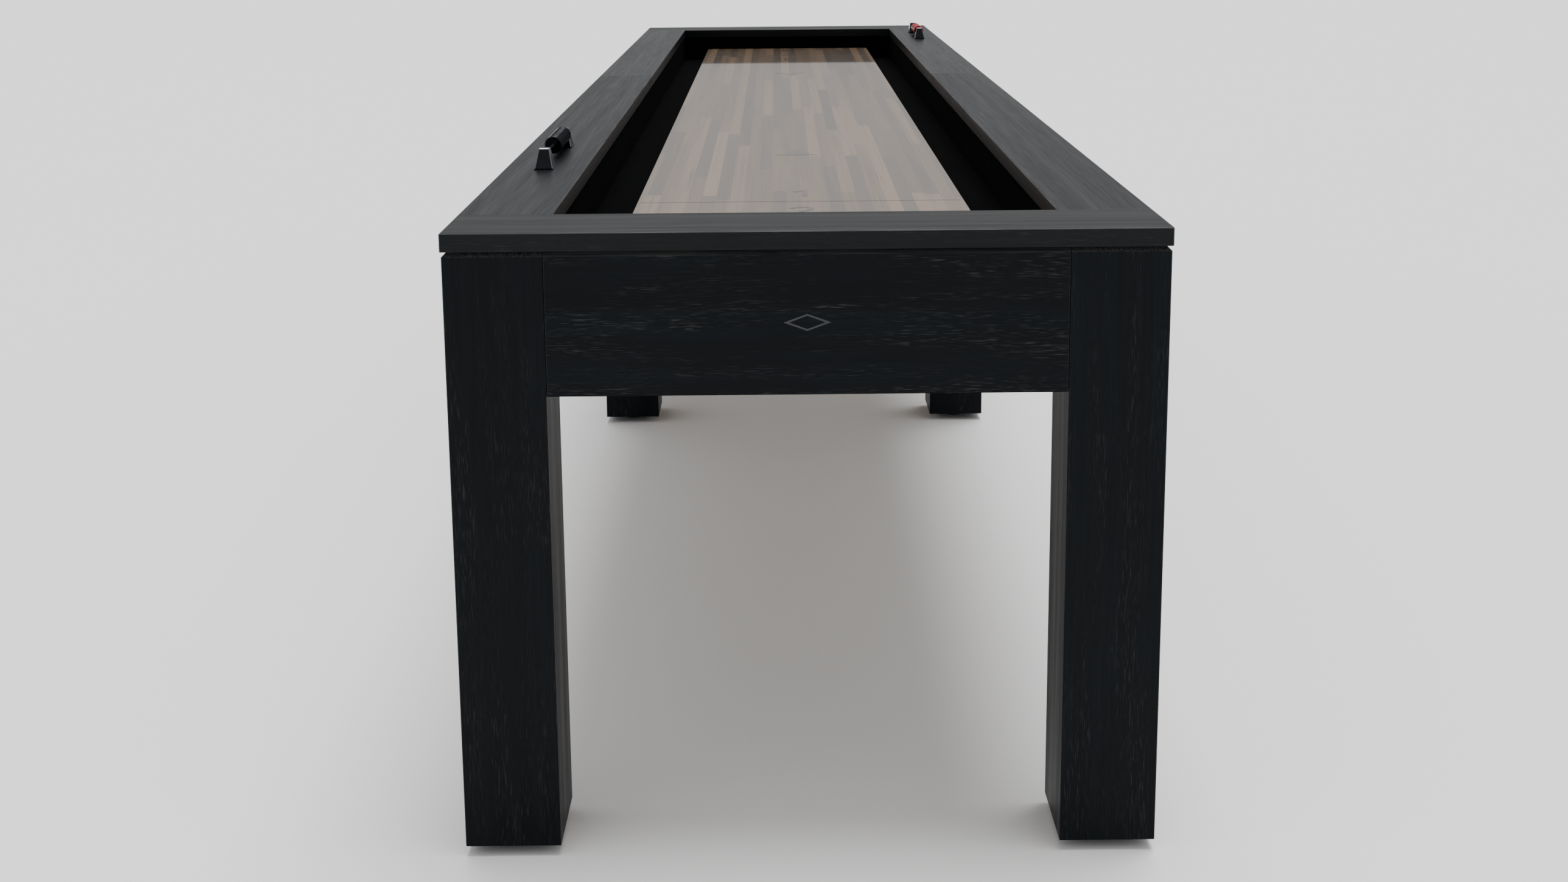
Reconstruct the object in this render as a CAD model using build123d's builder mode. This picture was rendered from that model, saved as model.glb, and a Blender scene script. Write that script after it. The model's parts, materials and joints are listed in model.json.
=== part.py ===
from build123d import *
import os

# Twelve-foot table shuffleboard.
# Frame: millimetres, +Z up, +Y along the table from the near end to the far end,
# +X to the right. The origin lies on the floor under the middle of the table.

os.makedirs("parts", exist_ok=True)

# ---------------------------------------------------------------- driving dimensions
TABLE_LENGTH = 3657.6
TABLE_WIDTH = 914.4
RAIL_TOP = 840.0
LEG_STANDOFF = 15.0  # leg ends above the floor, filled by the levellers

RAIL_THICKNESS = 24.0
SIDE_RAIL_WIDTH = 125.0
END_RAIL_WIDTH = 131.0
RAIL_OVERHANG = 1.5
RAIL_EASE = 1.5
SEAM_Y = 175.0  # where the two lengths of the cabinet meet, over the middle legs
SEAM_GAP = 0.3

LEG_SIZE = 126.0
LEG_ROUND = 2.0
REVEAL_CHAMFER = 7.0
APRON_HEIGHT = 187.0
APRON_THICKNESS = 38.0
JOINT_GAP = 0.5
JOINT_EASE = 1.2

PLAYFIELD_WIDTH = 508.0
PLAYFIELD_DROP = 55.6  # playing surface below the rail top
PLAYFIELD_THICKNESS = 44.5
PLAYFIELD_EASE = 2.5
END_GUTTER = 87.0

WALL_SETBACK = 6.0
WALL_THICKNESS = 18.0
CARPET_THICKNESS = 4.0
CARPET_CLEARANCE = 2.0
FLOOR_BOARD_THICKNESS = 12.0
FLOOR_BOARD_INNER_X = 200.0
FLOOR_BOARD_INNER_Y = 1560.0
CROSS_MEMBER_HEIGHT = 50.0
CROSS_MEMBER_WIDTH = 60.0
SEAM_MEMBER_WIDTH = 40.0
END_MEMBER_Y = 1670.0
BAYS_PER_SECTION = 3
BEARER_LENGTH = 380.0
WOOD_GAP = 0.2

DOWEL_RADIUS = 5.0
DOWEL_LENGTH = 60.0
DOWEL_OFFSET = 32.0
GLUE_GAP = 0.05

M10_RADIUS = 5.0
M10_HEX = 17.0
M10_HEAD = 6.4
M8_RADIUS = 4.0
M8_HEX = 13.0
M8_HEAD = 5.3
WASHER_THICKNESS = 1.6
WASHER_WALL = 5.0
BOLT_CLEARANCE = 0.5
THREAD_GAP = 0.06
SCREW_RADIUS = 2.0
SCREW_HEAD_RADIUS = 4.0
SCREW_HEAD = 2.0
SCREW_LENGTH = 20.0

PLAYFIELD_BOLT_X = 165.0
PLAYFIELD_BOLT_BITE = 25.0
LEG_BOLT_BITE = 45.0
LEG_BOLT_OFFSETS = (-40.0, 10.0)
SEAM_BOLT_X = (-250.0, 0.0, 250.0)

BRACKET_REACH = 40.0
SEAM_BRACKET_REACH = 20.0
BRACKET_HEIGHT = 30.0
BRACKET_PLATE = 3.0

ADJUSTER_BAYS = (0, 2, 3, 5)
ADJUSTER_PLATE_X = (133.0, 195.0)
ADJUSTER_PLATE_WIDTH = 50.0
ADJUSTER_PLATE = 4.0
ADJUSTER_LUG_DROP = 40.0
ADJUSTER_AXIS_DROP = 22.0
ADJUSTER_ROD_RADIUS = 5.0
ADJUSTER_SLEEVE_HEX = 17.0
ADJUSTER_SLEEVE_HALF = 30.0
ADJUSTER_ROD_INNER_X = 10.0
ADJUSTER_NUT = 5.0

PAD_RADIUS = 21.0
PAD_HEIGHT = 9.0
PAD_BEVEL = 2.0
PAD_SOCKET_DEPTH = 6.0
STUD_COLLAR = 4.0
STUD_TOP = 75.0
STUD_SIDE_GAP = 0.1
INSERT_FLANGE = 1.5
INSERT_FLANGE_RADIUS = 13.0
INSERT_RADIUS = 7.0
INSERT_DEPTH = 20.0
LEVELLER_BORE_RADIUS = 5.8
LEVELLER_BORE_DEPTH = 65.0

SCORER_OUTER_Y = 517.0  # black scorer's outer face, from the near end
RED_SCORER_OUTER_Y = 305.0  # red scorer's outer face, from the far end
SCORER_LENGTH = 281.0
SCORER_FOOT = (29.5, 38.0)  # across and along the rail
SCORER_FOOT_HEIGHT = 2.2
SCORER_LEDGE = 0.8  # foot left showing around the tapered body
SCORER_CREST = (16.0, 13.5)
SCORER_HEIGHT = 32.0
SCORER_BEVEL = 1.2
SCORER_AXIS_HEIGHT = 22.0
SCORER_ROD_RADIUS = 2.5
SCORER_ROD_END = 21.0  # from a post's outer face, inside the post
SCORER_STOP = 34.6  # from a post's outer face to the nearest bead
BEAD_RADIUS = 14.0
BEAD_BORE_RADIUS = 2.9
BEAD_PITCH = 6.0
BEAD_THICKNESS = 5.9
BEAD_RIM = 4.6
BEAD_HUB_RADIUS = 5.2
BEAD_DISH = 1.3
BEAD_ROUND = 1.5
BEADS_PER_GROUP = 7
BEAD_GROUPS = 3
SCORER_SCREW_BITE = 10.0

# ---------------------------------------------------------------- worked-out places
HALF_LENGTH = TABLE_LENGTH / 2
HALF_WIDTH = TABLE_WIDTH / 2
RAIL_UNDERSIDE = RAIL_TOP - RAIL_THICKNESS
RAIL_INNER_X = HALF_WIDTH - SIDE_RAIL_WIDTH
RAIL_INNER_Y = HALF_LENGTH - END_RAIL_WIDTH
SIDE_RAIL_X = HALF_WIDTH - SIDE_RAIL_WIDTH / 2
FRAME_X = HALF_WIDTH - RAIL_OVERHANG
FRAME_Y = HALF_LENGTH - RAIL_OVERHANG
APRON_BOTTOM = RAIL_UNDERSIDE - APRON_HEIGHT
APRON_INNER_X = FRAME_X - APRON_THICKNESS
LEG_X = FRAME_X - LEG_SIZE / 2
CORNER_LEG_Y = FRAME_Y - LEG_SIZE / 2
LEG_INNER_X = FRAME_X - LEG_SIZE
LEG_INNER_Y = FRAME_Y - LEG_SIZE
WALL_INNER_X = RAIL_INNER_X + WALL_SETBACK
WALL_OUTER_X = WALL_INNER_X + WALL_THICKNESS
WALL_INNER_Y = RAIL_INNER_Y + WALL_SETBACK
WALL_OUTER_Y = WALL_INNER_Y + WALL_THICKNESS
PLAYFIELD_TOP = RAIL_TOP - PLAYFIELD_DROP
PLAYFIELD_UNDERSIDE = PLAYFIELD_TOP - PLAYFIELD_THICKNESS
PLAYFIELD_HALF_LENGTH = RAIL_INNER_Y - END_GUTTER
FLOOR_BOARD_TOP = PLAYFIELD_UNDERSIDE - WOOD_GAP
FLOOR_BOARD_BOTTOM = FLOOR_BOARD_TOP - FLOOR_BOARD_THICKNESS
CROSS_MEMBER_BOTTOM = FLOOR_BOARD_BOTTOM - CROSS_MEMBER_HEIGHT
CROSS_MEMBER_MID_Z = FLOOR_BOARD_BOTTOM - CROSS_MEMBER_HEIGHT / 2
SECTIONS = ((-RAIL_INNER_Y, SEAM_Y - SEAM_GAP / 2), (SEAM_Y + SEAM_GAP / 2, RAIL_INNER_Y))
SECTION_NAMES = ("near", "far")
SIDES = (("left", -1), ("right", 1))
ENDS = (("near", -1), ("far", 1))


def bay_edges():
    """Y of the end members, the cross members between them and the seam, near to far."""
    near_step = (SEAM_Y + END_MEMBER_Y) / BAYS_PER_SECTION
    far_step = (END_MEMBER_Y - SEAM_Y) / BAYS_PER_SECTION
    near = [-END_MEMBER_Y + i * near_step for i in range(BAYS_PER_SECTION)]
    far = [SEAM_Y + i * far_step for i in range(BAYS_PER_SECTION + 1)]
    return near + far


BAY_EDGES = bay_edges()
END_MEMBERS = (BAY_EDGES[0], BAY_EDGES[-1])
INNER_MEMBERS = [y for y in BAY_EDGES[1:-1] if y != SEAM_Y]
SEAM_MEMBERS = [SEAM_Y + side * (SEAM_MEMBER_WIDTH + SEAM_GAP) / 2 for side in (-1, 1)]
ADJUSTER_Y = [(BAY_EDGES[bay] + BAY_EDGES[bay + 1]) / 2 for bay in ADJUSTER_BAYS]
MEMBER_WIDTHS = {y: CROSS_MEMBER_WIDTH for y in list(END_MEMBERS) + INNER_MEMBERS}
MEMBER_WIDTHS.update({y: SEAM_MEMBER_WIDTH for y in SEAM_MEMBERS})
ALL_MEMBERS = sorted(MEMBER_WIDTHS)
BOLTED_MEMBERS = [y for y in ALL_MEMBERS if y not in END_MEMBERS]
LEG_PLACES = [
    (f"{end}_{side}", sx * LEG_X, y)
    for end, y in (("near", -CORNER_LEG_Y), ("middle", SEAM_Y), ("far", CORNER_LEG_Y))
    for side, sx in SIDES
]


def save(piece, name):
    """Label a finished sub-part and write it as its own STEP file."""
    piece.part.label = name
    export_step(piece.part, f"parts/{name}.step")


def plane_facing_y(y):
    """A drawing plane across the table at this Y: local x is +X and local y is +Z."""
    return Plane.XZ.offset(-y)


# ---------------------------------------------------------------- top rails
dowel_x = (SIDE_RAIL_X - DOWEL_OFFSET, SIDE_RAIL_X + DOWEL_OFFSET)
dowel_z = RAIL_UNDERSIDE + RAIL_THICKNESS / 2
dowel_points = [(sx * x, dowel_z) for sx in (-1, 1) for x in dowel_x]
dowel_joints = (-RAIL_INNER_Y, SEAM_Y, RAIL_INNER_Y)

for end, sy in ENDS:
    with BuildPart() as end_rail:
        with BuildSketch(Plane.XY.offset(RAIL_UNDERSIDE)):
            with Locations((0, sy * (HALF_LENGTH - END_RAIL_WIDTH / 2))):
                Rectangle(TABLE_WIDTH, END_RAIL_WIDTH)
        extrude(amount=RAIL_THICKNESS)
        chamfer(end_rail.edges().filter_by(Axis.Z), RAIL_EASE)
        chamfer(end_rail.edges().group_by(Axis.Z)[-1], RAIL_EASE)
        with BuildSketch(plane_facing_y(sy * RAIL_INNER_Y)):
            with Locations(*dowel_points):
                Circle(DOWEL_RADIUS + GLUE_GAP)
        extrude(amount=DOWEL_LENGTH / 2, both=True, mode=Mode.SUBTRACT)
    save(end_rail, f"{end}_end_rail")

scorers = {
    "black": (-1, -HALF_LENGTH + SCORER_OUTER_Y, 1),
    "red": (1, HALF_LENGTH - RED_SCORER_OUTER_Y, -1),
}
scorer_post_points = [
    (sx * SIDE_RAIL_X, outer_y + inward * along)
    for sx, outer_y, inward in scorers.values()
    for along in (SCORER_FOOT[1] / 2, SCORER_LENGTH - SCORER_FOOT[1] / 2)
]

for side, sx in SIDES:
    for section, (y0, y1) in zip(SECTION_NAMES, SECTIONS):
        with BuildPart() as side_rail:
            with BuildSketch(Plane.XY.offset(RAIL_UNDERSIDE)):
                with Locations((sx * SIDE_RAIL_X, (y0 + y1) / 2)):
                    Rectangle(SIDE_RAIL_WIDTH, y1 - y0)
            extrude(amount=RAIL_THICKNESS)
            chamfer(side_rail.edges().group_by(Axis.Z)[-1], RAIL_EASE)
            for joint_y in dowel_joints:
                with BuildSketch(plane_facing_y(joint_y)):
                    with Locations(*dowel_points):
                        Circle(DOWEL_RADIUS + GLUE_GAP)
                extrude(amount=DOWEL_LENGTH / 2, both=True, mode=Mode.SUBTRACT)
            holes = [(x, y) for x, y in scorer_post_points if x * sx > 0 and y0 < y < y1]
            if holes:
                with BuildSketch(Plane.XY.offset(RAIL_UNDERSIDE)):
                    with Locations(*holes):
                        Circle(SCREW_RADIUS + BOLT_CLEARANCE)
                extrude(amount=RAIL_THICKNESS, mode=Mode.SUBTRACT)
        save(side_rail, f"{side}_rail_{section}")

with BuildPart() as rail_dowels:
    for joint_y in dowel_joints:
        with BuildSketch(plane_facing_y(joint_y)):
            with Locations(*dowel_points):
                Circle(DOWEL_RADIUS)
        extrude(amount=DOWEL_LENGTH / 2 - WOOD_GAP, both=True)
save(rail_dowels, "rail_dowels")

# ---------------------------------------------------------------- aprons
apron_mid_z = APRON_BOTTOM + APRON_HEIGHT / 2
apron_runs = (
    ("near", -LEG_INNER_Y + JOINT_GAP, SEAM_Y - LEG_SIZE / 2 - JOINT_GAP),
    ("far", SEAM_Y + LEG_SIZE / 2 + JOINT_GAP, LEG_INNER_Y - JOINT_GAP),
)

for end, sy in ENDS:
    with BuildPart() as end_apron:
        with BuildSketch(Plane.XY.offset(APRON_BOTTOM)):
            with Locations((0, sy * (FRAME_Y - APRON_THICKNESS / 2))):
                Rectangle(2 * (LEG_INNER_X - JOINT_GAP), APRON_THICKNESS)
        extrude(amount=APRON_HEIGHT)
        outer_face = end_apron.faces().sort_by(Axis.Y)[0 if sy < 0 else -1]
        chamfer(outer_face.edges().filter_by(Axis.X).sort_by(Axis.Z)[-1], REVEAL_CHAMFER)
        outer_face = end_apron.faces().sort_by(Axis.Y)[0 if sy < 0 else -1]
        chamfer(outer_face.edges().filter_by(Axis.Z), JOINT_EASE)
    save(end_apron, f"{end}_apron")

for side, sx in SIDES:
    for section, y0, y1 in apron_runs:
        with BuildPart() as side_apron:
            with BuildSketch(Plane.XY.offset(APRON_BOTTOM)):
                with Locations((sx * (FRAME_X - APRON_THICKNESS / 2), (y0 + y1) / 2)):
                    Rectangle(APRON_THICKNESS, y1 - y0)
            extrude(amount=APRON_HEIGHT)
            outer_face = side_apron.faces().sort_by(Axis.X)[0 if sx < 0 else -1]
            chamfer(outer_face.edges().filter_by(Axis.Y).sort_by(Axis.Z)[-1], REVEAL_CHAMFER)
            outer_face = side_apron.faces().sort_by(Axis.X)[0 if sx < 0 else -1]
            chamfer(outer_face.edges().filter_by(Axis.Z), JOINT_EASE)
        save(side_apron, f"{side}_apron_{section}")

# ---------------------------------------------------------------- legs
for name, leg_x, leg_y in LEG_PLACES:
    sx = 1 if leg_x > 0 else -1
    sy = 1 if leg_y > 0 else -1
    is_corner = leg_y != SEAM_Y
    with BuildPart() as leg:
        with BuildSketch(Plane.XY.offset(LEG_STANDOFF)):
            with Locations((leg_x, leg_y)):
                Rectangle(LEG_SIZE, LEG_SIZE)
        extrude(amount=RAIL_UNDERSIDE - LEG_STANDOFF)
        # The upper end is notched where the gutter walls and floor boards pass: a corner
        # leg loses only its inner corner, a middle leg its whole inner face.
        notch_x = WALL_OUTER_X + WOOD_GAP - LEG_INNER_X
        notch_y = WALL_OUTER_Y + WOOD_GAP - LEG_INNER_Y if is_corner else LEG_SIZE
        notch_mid_y = sy * (LEG_INNER_Y + notch_y / 2) if is_corner else leg_y
        with BuildSketch(Plane.XY.offset(FLOOR_BOARD_BOTTOM - WOOD_GAP)):
            with Locations((sx * (LEG_INNER_X + notch_x / 2), notch_mid_y)):
                Rectangle(notch_x, notch_y)
        extrude(amount=RAIL_UNDERSIDE - FLOOR_BOARD_BOTTOM + WOOD_GAP, mode=Mode.SUBTRACT)
        top_edges = leg.edges().group_by(Axis.Z)[-1]
        outer_tops = [top_edges.filter_by(Axis.Y).sort_by(Axis.X)[0 if sx < 0 else -1]]
        if is_corner:
            outer_tops.append(top_edges.filter_by(Axis.X).sort_by(Axis.Y)[0 if sy < 0 else -1])
        chamfer(outer_tops, REVEAL_CHAMFER)
        outer_face = leg.faces().filter_by(Axis.X).sort_by(Axis.X)[0 if sx < 0 else -1]
        side_edges = outer_face.edges().filter_by(Axis.Z)
        fillet(side_edges, LEG_ROUND)
        # Bore for the threaded insert and the levelling stud.
        with BuildSketch(Plane.XY.offset(LEG_STANDOFF)):
            with Locations((leg_x, leg_y)):
                Circle(INSERT_RADIUS + GLUE_GAP)
        extrude(amount=INSERT_DEPTH, mode=Mode.SUBTRACT)
        with BuildSketch(Plane.XY.offset(LEG_STANDOFF + INSERT_DEPTH)):
            with Locations((leg_x, leg_y)):
                Circle(LEVELLER_BORE_RADIUS)
        extrude(amount=LEVELLER_BORE_DEPTH - INSERT_DEPTH, mode=Mode.SUBTRACT)
        if is_corner:
            bolt_points = [(sx * (LEG_X + offset), CROSS_MEMBER_MID_Z) for offset in LEG_BOLT_OFFSETS]
            with BuildSketch(plane_facing_y(sy * LEG_INNER_Y)):
                with Locations(*bolt_points):
                    Circle(M10_RADIUS + GLUE_GAP)
            extrude(amount=LEG_BOLT_BITE, both=True, mode=Mode.SUBTRACT)
    save(leg, f"{name}_leg")

# ---------------------------------------------------------------- cabinet floor and gutters
member_half = {y: (APRON_INNER_X if y not in SEAM_MEMBERS else LEG_INNER_X) - WOOD_GAP for y in ALL_MEMBERS}
leg_bolt_x = [sx * (LEG_X + offset) for sx in (-1, 1) for offset in LEG_BOLT_OFFSETS]
playfield_bolt_points = [(sx * PLAYFIELD_BOLT_X, y) for y in BOLTED_MEMBERS for sx in (-1, 1)]

with BuildPart() as cross_members:
    for y in ALL_MEMBERS:
        with BuildSketch(Plane.XY.offset(CROSS_MEMBER_BOTTOM)):
            with Locations((0, y)):
                Rectangle(2 * member_half[y], MEMBER_WIDTHS[y])
        extrude(amount=CROSS_MEMBER_HEIGHT)
    with BuildSketch(Plane.XY.offset(CROSS_MEMBER_BOTTOM)):
        with Locations(*playfield_bolt_points):
            Circle(M8_RADIUS + BOLT_CLEARANCE)
    extrude(amount=CROSS_MEMBER_HEIGHT, mode=Mode.SUBTRACT)
    for y in END_MEMBERS:
        with BuildSketch(plane_facing_y(y)):
            with Locations(*[(x, CROSS_MEMBER_MID_Z) for x in leg_bolt_x]):
                Circle(M10_RADIUS + BOLT_CLEARANCE)
        extrude(amount=CROSS_MEMBER_WIDTH, both=True, mode=Mode.SUBTRACT)
    with BuildSketch(plane_facing_y(SEAM_Y)):
        with Locations(*[(x, CROSS_MEMBER_MID_Z) for x in SEAM_BOLT_X]):
            Circle(M10_RADIUS + BOLT_CLEARANCE)
    extrude(amount=CROSS_MEMBER_WIDTH, both=True, mode=Mode.SUBTRACT)
save(cross_members, "cross_members")

floor_width = WALL_OUTER_X - FLOOR_BOARD_INNER_X
floor_x = (WALL_OUTER_X + FLOOR_BOARD_INNER_X) / 2
floor_depth = WALL_OUTER_Y - FLOOR_BOARD_INNER_Y
floor_y = (WALL_OUTER_Y + FLOOR_BOARD_INNER_Y) / 2
floor_runs = ((-WALL_OUTER_Y, SECTIONS[0][1]), (SECTIONS[1][0], WALL_OUTER_Y))

with BuildPart() as gutter_floor_boards:
    with BuildSketch(Plane.XY.offset(FLOOR_BOARD_BOTTOM)):
        for sx in (-1, 1):
            for y0, y1 in floor_runs:
                with Locations((sx * floor_x, (y0 + y1) / 2)):
                    Rectangle(floor_width, y1 - y0)
        with Locations((0, -floor_y), (0, floor_y)):
            Rectangle(2 * (FLOOR_BOARD_INNER_X - WOOD_GAP), floor_depth)
    extrude(amount=FLOOR_BOARD_THICKNESS)
save(gutter_floor_boards, "gutter_floor_boards")

wall_runs = ((-WALL_INNER_Y + WOOD_GAP, SECTIONS[0][1]), (SECTIONS[1][0], WALL_INNER_Y - WOOD_GAP))
wall_height = RAIL_UNDERSIDE - FLOOR_BOARD_TOP

with BuildPart() as gutter_walls:
    with BuildSketch(Plane.XY.offset(FLOOR_BOARD_TOP)):
        for sx in (-1, 1):
            for y0, y1 in wall_runs:
                with Locations((sx * (WALL_INNER_X + WALL_THICKNESS / 2), (y0 + y1) / 2)):
                    Rectangle(WALL_THICKNESS, y1 - y0)
        with Locations(*[(0, sy * (WALL_INNER_Y + WALL_THICKNESS / 2)) for sy in (-1, 1)]):
            Rectangle(2 * WALL_OUTER_X, WALL_THICKNESS)
    extrude(amount=wall_height)
save(gutter_walls, "gutter_walls")

carpet_x = WALL_INNER_X - CARPET_THICKNESS / 2
carpet_y = WALL_INNER_Y - CARPET_THICKNESS / 2
carpet_outer_x = WALL_INNER_X - CARPET_THICKNESS - WOOD_GAP
carpet_outer_y = WALL_INNER_Y - CARPET_THICKNESS - WOOD_GAP
carpet_inner_x = PLAYFIELD_WIDTH / 2 + CARPET_CLEARANCE
carpet_inner_y = PLAYFIELD_HALF_LENGTH + CARPET_CLEARANCE
floor_carpet_runs = ((-carpet_outer_y, SECTIONS[0][1]), (SECTIONS[1][0], carpet_outer_y))

with BuildPart() as gutter_carpet:
    with BuildSketch(Plane.XY.offset(FLOOR_BOARD_TOP)):
        for sx in (-1, 1):
            for y0, y1 in wall_runs:
                with Locations((sx * carpet_x, (y0 + y1) / 2)):
                    Rectangle(CARPET_THICKNESS, y1 - y0)
        with Locations((0, -carpet_y), (0, carpet_y)):
            Rectangle(2 * (WALL_INNER_X - CARPET_THICKNESS - WOOD_GAP), CARPET_THICKNESS)
    extrude(amount=wall_height - WOOD_GAP)
    with BuildSketch(Plane.XY.offset(FLOOR_BOARD_TOP)):
        for sx in (-1, 1):
            for y0, y1 in floor_carpet_runs:
                with Locations((sx * (carpet_outer_x + carpet_inner_x) / 2, (y0 + y1) / 2)):
                    Rectangle(carpet_outer_x - carpet_inner_x, y1 - y0)
        with Locations(*[(0, sy * (carpet_outer_y + carpet_inner_y) / 2) for sy in (-1, 1)]):
            Rectangle(2 * (carpet_inner_x - WOOD_GAP), carpet_outer_y - carpet_inner_y)
    extrude(amount=CARPET_THICKNESS)
save(gutter_carpet, "gutter_carpet")

# ---------------------------------------------------------------- playfield and its bearers
bearer_height = PLAYFIELD_UNDERSIDE - FLOOR_BOARD_BOTTOM
adjuster_screw_points = [
    (sx * (ADJUSTER_PLATE_X[1] - offset), y + dy)
    for y in ADJUSTER_Y
    for sx in (-1, 1)
    for offset in (10.0, 45.0)
    for dy in (-ADJUSTER_PLATE_WIDTH / 4, ADJUSTER_PLATE_WIDTH / 4)
]

with BuildPart() as playfield:
    with BuildSketch(Plane.XY.offset(PLAYFIELD_UNDERSIDE)):
        Rectangle(PLAYFIELD_WIDTH, 2 * PLAYFIELD_HALF_LENGTH)
    extrude(amount=PLAYFIELD_THICKNESS)
    fillet(playfield.edges().filter_by(Axis.Z), PLAYFIELD_EASE)
    fillet(playfield.edges().group_by(Axis.Z)[-1], PLAYFIELD_EASE / 2)
    with BuildSketch(Plane.XY.offset(PLAYFIELD_UNDERSIDE)):
        with Locations(*playfield_bolt_points):
            Circle(M8_RADIUS + GLUE_GAP)
    extrude(amount=PLAYFIELD_BOLT_BITE + WOOD_GAP, mode=Mode.SUBTRACT)
    with BuildSketch(Plane.XY.offset(PLAYFIELD_UNDERSIDE)):
        with Locations(*adjuster_screw_points):
            Circle(SCREW_RADIUS + GLUE_GAP)
    extrude(amount=SCREW_LENGTH, mode=Mode.SUBTRACT)
save(playfield, "playfield")

with BuildPart() as playfield_bearers:
    with BuildSketch(Plane.XY.offset(FLOOR_BOARD_BOTTOM)):
        for y in INNER_MEMBERS:
            with Locations((0, y)):
                Rectangle(BEARER_LENGTH, CROSS_MEMBER_WIDTH)
        with Locations((0, SEAM_Y)):
            Rectangle(BEARER_LENGTH, 2 * SEAM_MEMBER_WIDTH)
    extrude(amount=bearer_height)
    with BuildSketch(Plane.XY.offset(FLOOR_BOARD_BOTTOM)):
        with Locations(*playfield_bolt_points):
            Circle(M8_RADIUS + BOLT_CLEARANCE)
    extrude(amount=bearer_height, mode=Mode.SUBTRACT)
save(playfield_bearers, "playfield_bearers")

with BuildPart() as playfield_bolts:
    with BuildSketch(Plane.XY.offset(CROSS_MEMBER_BOTTOM - WASHER_THICKNESS - M8_HEAD)):
        with Locations(*playfield_bolt_points):
            RegularPolygon(M8_HEX / 2, 6, major_radius=False)
    extrude(amount=M8_HEAD)
    with BuildSketch(Plane.XY.offset(CROSS_MEMBER_BOTTOM - WASHER_THICKNESS)):
        with Locations(*playfield_bolt_points):
            Circle(M8_RADIUS)
    extrude(amount=PLAYFIELD_UNDERSIDE + PLAYFIELD_BOLT_BITE - CROSS_MEMBER_BOTTOM + WASHER_THICKNESS)
save(playfield_bolts, "playfield_bolts")

# ---------------------------------------------------------------- climatic adjusters
adjuster_axis_z = PLAYFIELD_UNDERSIDE - ADJUSTER_AXIS_DROP
lug_x = ADJUSTER_PLATE_X[0] + ADJUSTER_PLATE / 2
plate_length = ADJUSTER_PLATE_X[1] - ADJUSTER_PLATE_X[0]
plate_mid_x = (ADJUSTER_PLATE_X[1] + ADJUSTER_PLATE_X[0]) / 2

with BuildPart() as adjuster_brackets:
    with BuildSketch(Plane.XY.offset(PLAYFIELD_UNDERSIDE - ADJUSTER_PLATE)):
        with Locations(*[(sx * plate_mid_x, y) for sx in (-1, 1) for y in ADJUSTER_Y]):
            Rectangle(plate_length, ADJUSTER_PLATE_WIDTH)
    extrude(amount=ADJUSTER_PLATE)
    with BuildSketch(Plane.XY.offset(PLAYFIELD_UNDERSIDE - ADJUSTER_LUG_DROP)):
        with Locations(*[(sx * lug_x, y) for sx in (-1, 1) for y in ADJUSTER_Y]):
            Rectangle(ADJUSTER_PLATE, ADJUSTER_PLATE_WIDTH)
    extrude(amount=ADJUSTER_LUG_DROP)
    with BuildSketch(Plane.YZ):
        with Locations(*[(y, adjuster_axis_z) for y in ADJUSTER_Y]):
            Circle(ADJUSTER_ROD_RADIUS + BOLT_CLEARANCE)
    extrude(amount=ADJUSTER_PLATE_X[0] + ADJUSTER_PLATE, both=True, mode=Mode.SUBTRACT)
    with BuildSketch(Plane.XY.offset(PLAYFIELD_UNDERSIDE - ADJUSTER_PLATE)):
        with Locations(*adjuster_screw_points):
            Circle(SCREW_RADIUS + BOLT_CLEARANCE)
    extrude(amount=ADJUSTER_PLATE, mode=Mode.SUBTRACT)
save(adjuster_brackets, "adjuster_brackets")

rod_outer_x = lug_x + ADJUSTER_PLATE / 2 + ADJUSTER_NUT + ADJUSTER_PLATE

with BuildPart() as adjuster_rods:
    for sx in (-1, 1):
        with BuildSketch(Plane.YZ.offset(sx * ADJUSTER_ROD_INNER_X)):
            with Locations(*[(y, adjuster_axis_z) for y in ADJUSTER_Y]):
                Circle(ADJUSTER_ROD_RADIUS)
        extrude(amount=sx * (rod_outer_x - ADJUSTER_ROD_INNER_X))
save(adjuster_rods, "adjuster_rods")

for number, y in enumerate(ADJUSTER_Y, start=1):
    with BuildPart() as adjuster_sleeve:
        with BuildSketch(Plane.YZ):
            with Locations((y, adjuster_axis_z)):
                RegularPolygon(ADJUSTER_SLEEVE_HEX / 2, 6, major_radius=False)
                Circle(ADJUSTER_ROD_RADIUS + THREAD_GAP, mode=Mode.SUBTRACT)
        extrude(amount=ADJUSTER_SLEEVE_HALF, both=True)
    save(adjuster_sleeve, f"adjuster_sleeve_{number}")

# ---------------------------------------------------------------- cabinet fasteners
bracket_z = CROSS_MEMBER_MID_Z - BRACKET_HEIGHT / 2
bracket_places = [
    (sx, APRON_INNER_X, y + CROSS_MEMBER_WIDTH / 2, 1, BRACKET_REACH)
    for y in INNER_MEMBERS
    for sx in (-1, 1)
]
bracket_places += [
    (sx, LEG_INNER_X, y + way * SEAM_MEMBER_WIDTH / 2, way, SEAM_BRACKET_REACH)
    for y, way in zip(SEAM_MEMBERS, (-1, 1))
    for sx in (-1, 1)
]

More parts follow.
